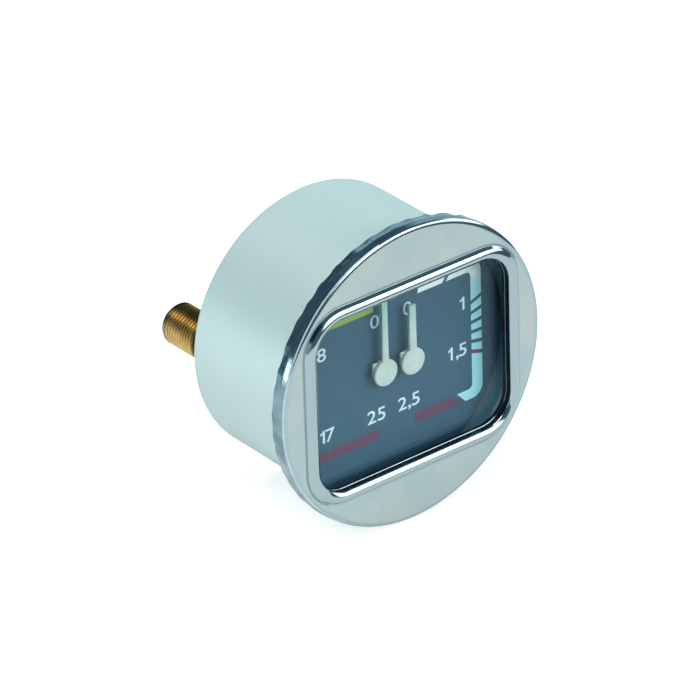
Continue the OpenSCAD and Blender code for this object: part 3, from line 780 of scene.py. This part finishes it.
def bezel_finish(x, y, z, n):
    """The finish of the bezel's face at a place in millimetres."""
    r = math.hypot(x, z)
    if r > SKIRT_IN_R and y > SKIRT_TOP_Y:
        return CRIMPED
    if r > PLATE_R:
        # The painted highlight line along the left of the rolled edge
        in_line = HIGHLIGHT_LINE_R[0] < r < HIGHLIGHT_LINE_R[1] and y < HIGHLIGHT_LINE_Y
        angle = math.degrees(math.atan2(z, x)) % 360
        return PAINTED_HIGHLIGHT if in_line and HIGHLIGHT_LINE_ANGLE[0] < angle < HIGHLIGHT_LINE_ANGLE[1] else POLISHED
    # Faces below the bead's shoulder that don't look to the front: the wall, and the sheet's back
    if r < 34 and y > FACE_Y - WALL_START and n.y > WALL_TILT:
        if abs(y - FACE_Y - RIDGE_DEPTH) < 0.075 and z < -20 and abs(x) < 22:
            return CREASE_SHADE_AND_RIDGE
        # Inside the window the wall is painted near black as shade
        in_window = abs(x) < WINDOW_W / 2 + 0.2 and abs(z) < WINDOW_H / 2 + 0.2
        return WALL_SHADE if in_window else PLAIN
    out_x = max(abs(x) - (WINDOW_W / 2 - WINDOW_R), 0)
    out_z = max(abs(z) - (WINDOW_H / 2 - WINDOW_R), 0)
    inward = WINDOW_R + BEAD_OUT - math.hypot(out_x, out_z)
    if inward < BEAD[0][0]:
        return PLAIN
    # Painted shade in the crease, on the top and left sides only
    if inward < CREASE_SHADE_U and (z > 18 or x < -24):
        return CREASE_SHADE_AND_RIDGE
    return POLISHED


paint_faces(bezel, bezel_finish)

# ---------------------------------------------------------------- lens

LENS_R = 34.9
LENS_FRONT_Y = -2.3
LENS_BACK_Y = -1.12
LENS_SIDES = 160

lens = turned_piece("lens_disc", [
    (10, LENS_FRONT_Y), (34.4, LENS_FRONT_Y), (34.62, LENS_FRONT_Y), (34.8, -2.22),
    (LENS_R, -2.05), (LENS_R, -1.35), (34.8, -1.2), (34.62, LENS_BACK_Y), (34.4, LENS_BACK_Y),
    (10, LENS_BACK_Y)], LENS_SIDES)
smooth(lens, 60)
dressed(lens, glass.material, "housing", "lens_glass", "lens")

# ---------------------------------------------------------------- figures on the dial

DIAL_Y = 3.0
INK = 0.03
FIGURE_H = 3.15
FIGURE_STRETCH = 1.18
FIGURE_WEIGHT = 0.006
FONT_H = 0.70
TEXT_EXTRUDE = 0.02
FLAG_LENGTH = 1.15
FLAG_THICK = 0.46
FLAG_DROP = 0.62
FLAG_LEFT = 0.4
FLAG_DOWN = 0.30


def glyph(text, x, z):
    """One printed sign, centred at x and z on the dial."""
    start()
    bpy.ops.object.text_add()
    letter = bpy.context.object
    letter.data.body = text
    letter.data.offset = FIGURE_WEIGHT
    letter.data.extrude = TEXT_EXTRUDE
    letter.data.resolution_u = 6
    bpy.ops.object.convert(target="MESH")
    letter = bpy.context.object
    box = [Vector(c) for c in letter.bound_box]
    middle = (min(c.x for c in box) + max(c.x for c in box)) / 2
    k = FIGURE_H * MM / FONT_H
    letter.data.transform(Matrix.Translation((-middle, -FONT_H / 2, 0)))
    thin = INK * MM / (2 * TEXT_EXTRUDE)
    letter.data.transform(Matrix.Diagonal((k * FIGURE_STRETCH, k, thin, 1)))
    letter.data.transform(Matrix.Rotation(math.pi / 2, 4, "X"))
    letter.data.transform(Matrix.Translation((x * MM, (DIAL_Y - INK / 2) * MM, z * MM)))
    piece = named("sign")
    edit(piece)
    close_up()
    return piece


def flag(x, z):
    """The short stroke that runs down to the left from the top of a 1."""
    start()
    top = z + FIGURE_H / 2 - FLAG_DOWN
    bpy.ops.mesh.primitive_cube_add(
        size=1, location=((x - FLAG_LEFT) * MM, (DIAL_Y - INK / 2) * MM, top * MM))
    bpy.context.object.scale = (FLAG_LENGTH * MM, INK * 0.9 * MM, FLAG_THICK * MM)
    piece = named("flag")
    edit(piece)
    pick(piece, lambda px, py, pz: px < x - FLAG_LEFT)
    bpy.ops.transform.translate(value=(0, 0, -FLAG_DROP * MM))
    bpy.ops.object.mode_set(mode="OBJECT")
    return piece


def figure(name, z, *signs):
    """A printed figure at height z on the dial, from its signs and their places across."""
    pieces = [glyph(text, x, z) for text, x in signs]
    pieces += [flag(x, z) for text, x in signs if text == "1"]
    dressed(join(name, *pieces), ink_white, "housing", "band_light")


figure("figure_pump_0", 12.0, ("0", -4.85))
figure("figure_boiler_0", 11.95, ("0", 4.2))
figure("figure_pump_8", 9.3, ("8", -19.45))
figure("figure_pump_17", -10.75, ("1", -19.55), ("7", -17.8))
figure("figure_pump_25", -11.0, ("2", -6.35), ("5", -3.65))
figure("figure_boiler_2_5", -10.9, ("2", 2.2), (",", 4.15), ("5", 5.9))
figure("figure_boiler_1_5", -3.85, ("1", 16.2), (",", 17.75), ("5", 19.3))
figure("figure_boiler_1", 7.4, ("1", 19.75))

# ---------------------------------------------------------------- pointers

HUB_Y = 0.5
HUB_SIDES = 72
BLADE_THICK = 0.76
BLADE_MIDDLE = 0.42
BLADE_TAPER = 0.88
TAB_PLACE = (-2.0, 1.3, 1.85)
TAB_SIZE = (1.6, 0.7, 1.6)

# The hub's disc and the boss behind it: radius, and depth behind the disc's face
HUB_SECTION = [
    (0.12, 0.10), (0.35, 0.10), (0.45, 0), (2.72, 0), (2.95, 0.03), (3.07, 0.12), (3.12, 0.27),
    (3.12, 0.68), (3.08, 0.82), (2.98, 0.9), (2.4, 0.9), (2.4, 2.12), (2.3, 2.22), (0.95, 2.22),
]


def softened(piece, width):
    """Rounds a moulded block's edges by a width in millimetres."""
    apply_modifier(piece, "BEVEL", width=width * MM, segments=3)
    smooth(piece, 40)


def pointer(name, x, length, width, body, node):
    """A moulded pointer: its hub, its tapered blade, and the tab behind the hub."""
    hub = turned_piece(name + "_hub", [(r, HUB_Y + y) for r, y in HUB_SECTION], HUB_SIDES, (x, 0))
    smooth(hub, 40)
    start()
    bpy.ops.mesh.primitive_cube_add(
        size=1, location=(x * MM, (HUB_Y + BLADE_MIDDLE) * MM, length / 2 * MM))
    bpy.context.object.scale = (width * MM, BLADE_THICK * MM, length * MM)
    blade = named(name + "_blade")
    edit(blade)
    pick(blade, lambda px, py, pz: pz > length - 1)
    bpy.ops.transform.resize(value=(BLADE_TAPER, 1, 1), center_override=(x * MM, 0, length * MM))
    bpy.ops.mesh.select_all(action="SELECT")
    bpy.ops.object.mode_set(mode="OBJECT")
    softened(blade, 0.16)
    start()
    across, back, up = TAB_PLACE
    bpy.ops.mesh.primitive_cube_add(
        size=1, location=((x + across) * MM, (HUB_Y + back) * MM, up * MM))
    bpy.context.object.scale = [side * MM for side in TAB_SIZE]
    tab = named(name + "_tab")
    softened(tab, 0.3)
    dressed(join(name, hub, blade, tab), pointer_plastic, body, "pointer_plastic", node)


pointer("pump_pointer_moulding", -3.9, 19.0, 1.72, "pump_pointer_group", "pump_pointer")
pointer("boiler_pointer_moulding", 3.7, 13.9, 2.05, "boiler_pointer_group", "boiler_pointer")

# ---------------------------------------------------------------- threaded ports

PITCH = 0.907
THREAD_R = 4.864
ROOT_R = 4.30
CREST_R = THREAD_R - 0.01
THREAD_TURNS = 21
THREAD_STEPS = 48
NECK_END_Y = 32.7
PORT_END_Y = 47.9
PORT_X = 23.5
BORE_R = 1.5
BLANK_SIDES = 96
BORE_SIDES = 48

# One pitch of the thread's flank, drawn as a line and screwed along the port
start()
bpy.ops.mesh.primitive_plane_add(size=0.001)
thread = named("port_thread")
edit(thread)
bpy.ops.mesh.select_all(action="SELECT")
bpy.ops.mesh.merge(type="CENTER")
bpy.ops.mesh.select_all(action="SELECT")
bpy.ops.transform.translate(value=(ROOT_R * MM, 0, 0))
flank = [(ROOT_R, 0.0), (ROOT_R, 0.07), (4.42, 0.17), (4.76, 0.35), (CREST_R, 0.43),
         (CREST_R, 0.51), (4.76, 0.59), (4.42, 0.77), (ROOT_R, 0.87), (ROOT_R, PITCH)]
for (r0, y0), (r1, y1) in zip(flank, flank[1:]):
    bpy.ops.mesh.extrude_region_move(
        TRANSFORM_OT_translate={"value": ((r1 - r0) * MM, (y1 - y0) * MM, 0)})
bpy.ops.object.mode_set(mode="OBJECT")
apply_modifier(thread, "SCREW", axis="Y", angle=2 * math.pi, screw_offset=PITCH * MM,
               iterations=THREAD_TURNS, steps=THREAD_STEPS, render_steps=THREAD_STEPS,
               use_merge_vertices=True, merge_threshold=0.00001)
edit(thread)
bpy.ops.mesh.select_all(action="SELECT")
bpy.ops.mesh.remove_doubles(threshold=2 * MERGE)
bpy.ops.mesh.select_all(action="SELECT")
bpy.ops.transform.translate(value=(0, (NECK_END_Y - 1.3) * MM, 0))
for cut_y, out in ((NECK_END_Y - 0.8, False), (PORT_END_Y + 0.6, True)):
    bpy.ops.mesh.select_all(action="SELECT")
    bpy.ops.mesh.bisect(plane_co=(0, cut_y * MM, 0), plane_no=(0, 1, 0), use_fill=True,
                        clear_outer=out, clear_inner=not out)
close_up()

# The thread is cut to a blank with a chamfered end, and bored
blank = turned_piece("port_blank", [
    (4, NECK_END_Y - 0.3), (6, NECK_END_Y - 0.3), (6, PORT_END_Y - 2.05), (4.15, PORT_END_Y - 0.02),
    (4.05, PORT_END_Y), (3, PORT_END_Y)], BLANK_SIDES)
bore = turned_piece("port_bore", [
    (1.0, PORT_END_Y - 6), (BORE_R, PORT_END_Y - 5.8), (BORE_R, PORT_END_Y - 0.3),
    (1.95, PORT_END_Y + 0.2), (1.95, PORT_END_Y + 1)], BORE_SIDES)
apply_modifier(thread, "BOOLEAN", operation="INTERSECT", object=blank, solver="EXACT")
apply_modifier(thread, "BOOLEAN", operation="DIFFERENCE", object=bore, solver="EXACT")
bpy.data.objects.remove(blank)
bpy.data.objects.remove(bore)
smooth(thread, 40)


def port(side, name, node):
    """The socket's block, foot and neck, with the threaded port on it."""
    block = nodes[node].copy()
    block.data = nodes[node].data.copy()
    block.parent = None
    bpy.context.scene.collection.objects.link(block)
    block.name = name + "_block"
    for key in list(block.keys()):
        del block[key]
    edit(block)
    bpy.ops.mesh.select_all(action="SELECT")
    bpy.ops.mesh.remove_doubles(threshold=MERGE)
    bpy.ops.mesh.select_all(action="SELECT")
    bpy.ops.mesh.bisect(plane_co=(0, (NECK_END_Y - 0.001) * MM, 0), plane_no=(0, 1, 0),
                        clear_outer=True, use_fill=True)
    bpy.ops.object.mode_set(mode="OBJECT")
    apply_modifier(block, "BEVEL", width=0.12 * MM, segments=2, angle_limit=math.radians(50))
    smooth(block, 35)
    own = thread.copy()
    own.data = thread.data.copy()
    bpy.context.scene.collection.objects.link(own)
    own.data.transform(Matrix.Translation((side * PORT_X * MM, 0, 0)))
    dressed(join(name, own, block), brass, "housing", "socket_brass", node)


port(-1, "boiler_port_fitting", "boiler_socket")
port(1, "pump_port_fitting", "pump_socket")
bpy.data.objects.remove(thread)

# ---------------------------------------------------------------- rear screws

SCREW_X = 23.5
SCREW_Z = 8.5
SCREW_SIDES = 48
HEAD_H = 1.3
SLOT_SIZE = (6, 1.3, 0.55)

# From the shank's end to the top of the domed head: radius, and height over the case's back
SCREW_SECTION = [
    (0.6, -3.7), (1.1, -3.7), (1.23, -3.45), (1.23, 0), (2.05, 0), (2.2, 0.1), (2.2, 0.75),
    (2.12, 0.98), (1.9, 1.14), (1.2, 1.27), (0.5, HEAD_H),
]


def rear_screw(name, side, z):
    """A slotted screw with a softly domed head, and its shank in the socket's foot."""
    x = side * SCREW_X
    screw = turned_piece(
        name, [(r, BACK_Y + y) for r, y in SCREW_SECTION], SCREW_SIDES, (x, z))
    start()
    bpy.ops.mesh.primitive_cube_add(size=1, location=(x * MM, (BACK_Y + HEAD_H) * MM, z * MM))
    bpy.context.object.scale = [length * MM for length in SLOT_SIZE]
    slot = named(name + "_slot")
    edit(slot)
    bpy.ops.mesh.select_all(action="SELECT")
    bpy.ops.transform.rotate(value=math.radians(17 * z + 31 * side), orient_axis="Y",
                             center_override=(x * MM, 0, z * MM))
    bpy.ops.object.mode_set(mode="OBJECT")
    apply_modifier(screw, "BOOLEAN", operation="DIFFERENCE", object=slot, solver="EXACT")
    bpy.data.objects.remove(slot)
    smooth(screw, 40)
    return screw


rear_screws = [rear_screw("rear_screw_%d" % k, side, z) for k, (side, z) in enumerate(
    [(-1, -SCREW_Z), (-1, SCREW_Z), (1, -SCREW_Z), (1, SCREW_Z)])]
screws = join("rear_screws", *rear_screws)
dressed(screws, screw_zinc, "housing", "screw_steel", "socket_screws")

# ---------------------------------------------------------------- finishes on the frame's own nodes

CAD_FINISH = {
    "lens_gasket": gasket_rubber,
    "dial_plate": dial_paint,
    "dial_bands_light": ink_pale,
    "dial_bands_red": ink_red,
    "dial_band_yellow": ink_yellow,
    "dial_posts": movement_brass,
    "dial_screws": screw_zinc,
    "front_plate": movement_brass,
    "rear_plate": movement_brass,
    "pillars": movement_brass,
    "pillar_screws": screw_zinc,
    "plate_screws": screw_zinc,
    "restrictors": brass,
}
for side in ("pump", "boiler"):
    CAD_FINISH.update({
        side + "_bourdon_tube": tube_bronze,
        side + "_tube_end": movement_brass,
        side + "_sector": movement_brass,
        side + "_collet": movement_brass,
        side + "_spring_stud": movement_brass,
        side + "_link": shaft_steel,
        side + "_sector_arbor": shaft_steel,
        side + "_tail_pin": shaft_steel,
        side + "_arbor": shaft_steel,
        side + "_hairspring": spring_blue,
    })
for node, material in CAD_FINISH.items():
    mesh = nodes[node].data
    if not mesh.materials:
        mesh.materials.append(material)
    for k in range(len(mesh.materials)):
        mesh.materials[k] = material

# ---------------------------------------------------------------- floor, world and lamps

FLOOR_SIZE = 0.6
FLOOR_GAP = 0.00005
CAMERA_WHITE = 0.70
MIRROR_WHITE = 0.12

start()
bpy.ops.mesh.primitive_plane_add(size=FLOOR_SIZE, location=(0, 0, cad_box[0][2] - FLOOR_GAP))
floor = named("studio_floor")
floor_paper = Finish("Studio floor", (0.69, 0.70, 0.70), roughness=0.9)
floor_paper.mottled((0.71, 0.72, 0.72), 3, 1.0)
seen = add(floor_paper.tree, "ShaderNodeLightPath", -900, 700)
mirrored = add(floor_paper.tree, "ShaderNodeMath", -600, 600, operation="MAXIMUM")
floor_paper.link(seen.outputs["Is Glossy Ray"], mirrored.inputs[0])
floor_paper.link(seen.outputs["Is Transmission Ray"], mirrored.inputs[1])
whiter = add(floor_paper.tree, "ShaderNodeMath", -300, 600, operation="MULTIPLY")
whiter.inputs[1].default_value = MIRROR_WHITE
floor_paper.link(mirrored.outputs[0], whiter.inputs[0])
brightest = add(floor_paper.tree, "ShaderNodeMath", -100, 700, operation="MULTIPLY_ADD")
brightest.inputs[1].default_value = CAMERA_WHITE
floor_paper.link(seen.outputs["Is Camera Ray"], brightest.inputs[0])
floor_paper.link(whiter.outputs[0], brightest.inputs[2])
floor_paper.shader.inputs["Emission Color"].default_value = (1, 1, 1, 1)
floor_paper.link(brightest.outputs[0], floor_paper.shader.inputs["Emission Strength"])
floor.data.materials.append(floor_paper.material)

# The studio: dark walls and ceiling, a bright wall in front on the right, a dim one on the
# left, a dim one high at the back, and the dark place where the camera stands. Only the camera
# itself sees them all as white.
DARK_WALL = (0.095, 0.15, 0.185)
CAMERA_SPOT = (0.28, 0.50)

world = bpy.data.worlds.new("studio")
bpy.context.scene.world = world
world.use_nodes = True
sky = world.node_tree
way = add(sky, "ShaderNodeTexCoord", -1400)
split = add(sky, "ShaderNodeSeparateXYZ", -1200)
sky.links.new(way.outputs["Generated"], split.inputs[0])


def fade(axis, start_at, end_at, y):
    """A mask that goes from 0 to 1 as the direction's part along the axis goes between the two."""
    node = add(sky, "ShaderNodeMapRange", -950, y, interpolation_type="SMOOTHSTEP")
    node.inputs["From Min"].default_value = min(start_at, end_at)
    node.inputs["From Max"].default_value = max(start_at, end_at)
    node.inputs["To Min"].default_value = float(start_at > end_at)
    node.inputs["To Max"].default_value = float(start_at < end_at)
    sky.links.new(split.outputs[axis], node.inputs["Value"])
    return node.outputs["Result"]


def both(a, b, x, y):
    """The part that two masks share."""
    node = add(sky, "ShaderNodeMath", x, y, operation="MULTIPLY")
    sky.links.new(a, node.inputs[0])
    sky.links.new(b, node.inputs[1])
    return node.outputs[0]


def tint(below, color, mask, x):
    """The colour laid over what is below it, where the mask is 1."""
    node = add(sky, "ShaderNodeMix", x, data_type="RGBA")
    if isinstance(below, tuple):
        node.inputs["A"].default_value = (*below, 1)
    else:
        sky.links.new(below, node.inputs["A"])
    node.inputs["B"].default_value = (*color, 1)
    sky.links.new(mask, node.inputs["Factor"])
    return node.outputs["Result"]


level = both(fade("Z", 0.08, 0.17, 600), fade("Z", 0.50, 0.40, 400), -700, 500)
front = both(fade("Y", 0.05, -0.15, 200), fade("X", -0.02, 0.10, 0), -700, 100)
left = both(fade("Y", 0.30, 0.10, -200), fade("X", -0.45, -0.62, -400), -700, -300)
far_corner = both(fade("X", 0.05, 0.25, -600), fade("Y", 0.35, 0.60, -600), -800, -600)
high_back = both(far_corner, fade("Z", 0.66, 0.54, -800), -700, -700)
low_left = both(fade("X", -0.45, -0.62, -400), fade("Z", 0.22, 0.02, 600), -700, -500)
walls = tint(DARK_WALL, (0.50, 0.70, 0.77), high_back, -480)
walls = tint(walls, (0.27, 0.44, 0.52), low_left, -400)
walls = tint(walls, (0.62, 0.90, 1.00), both(level, left, -500, -300), -320)
walls = tint(walls, (2.30, 2.40, 2.40), both(level, front, -500, 300), -160)
spot = add(sky, "ShaderNodeVectorMath", -950, -1000, operation="DISTANCE")
spot.inputs[1].default_value = camera_back
sky.links.new(way.outputs["Generated"], spot.inputs[0])
round_camera = add(sky, "ShaderNodeMapRange", -700, -1000, interpolation_type="SMOOTHSTEP")
round_camera.inputs["From Min"].default_value = CAMERA_SPOT[0]
round_camera.inputs["From Max"].default_value = CAMERA_SPOT[1]
round_camera.inputs["To Min"].default_value = 1
round_camera.inputs["To Max"].default_value = 0
sky.links.new(spot.outputs["Value"], round_camera.inputs["Value"])
walls = tint(walls, (0.012, 0.028, 0.055), round_camera.outputs["Result"], 0)
seen = add(sky, "ShaderNodeLightPath", 0, 300)
walls = tint(walls, (1, 1, 1), seen.outputs["Is Camera Ray"], 160)
sky.links.new(walls, sky.nodes["Background"].inputs["Color"])
sky.nodes["Background"].location = (400, 0)
sky.nodes["World Output"].location = (600, 0)
sky.nodes["Background"].inputs["Strength"].default_value = 1.0


def lamp(name, place, size, watts):
    """A soft rectangular lamp that faces the object."""
    data = bpy.data.lights.new(name, "AREA")
    data.shape = "RECTANGLE"
    data.size, data.size_y = size
    data.energy = watts
    lamp_object = bpy.data.objects.new(name, data)
    bpy.context.scene.collection.objects.link(lamp_object)
    lamp_object.location = place
    away = Vector(place).normalized()
    lamp_object.rotation_euler = away.to_track_quat("Z", "Y").to_euler()


lamp("overhead_softbox", (-0.26, -0.10, 0.97), (0.9, 0.7), 10.3)
lamp("left_softbox", (-0.95, 0.28, 0.06), (0.5, 0.18), 1.9)
lamp("right_front_softbox", (0.40, -0.94, 0.42), (0.6, 0.35), 2.8)
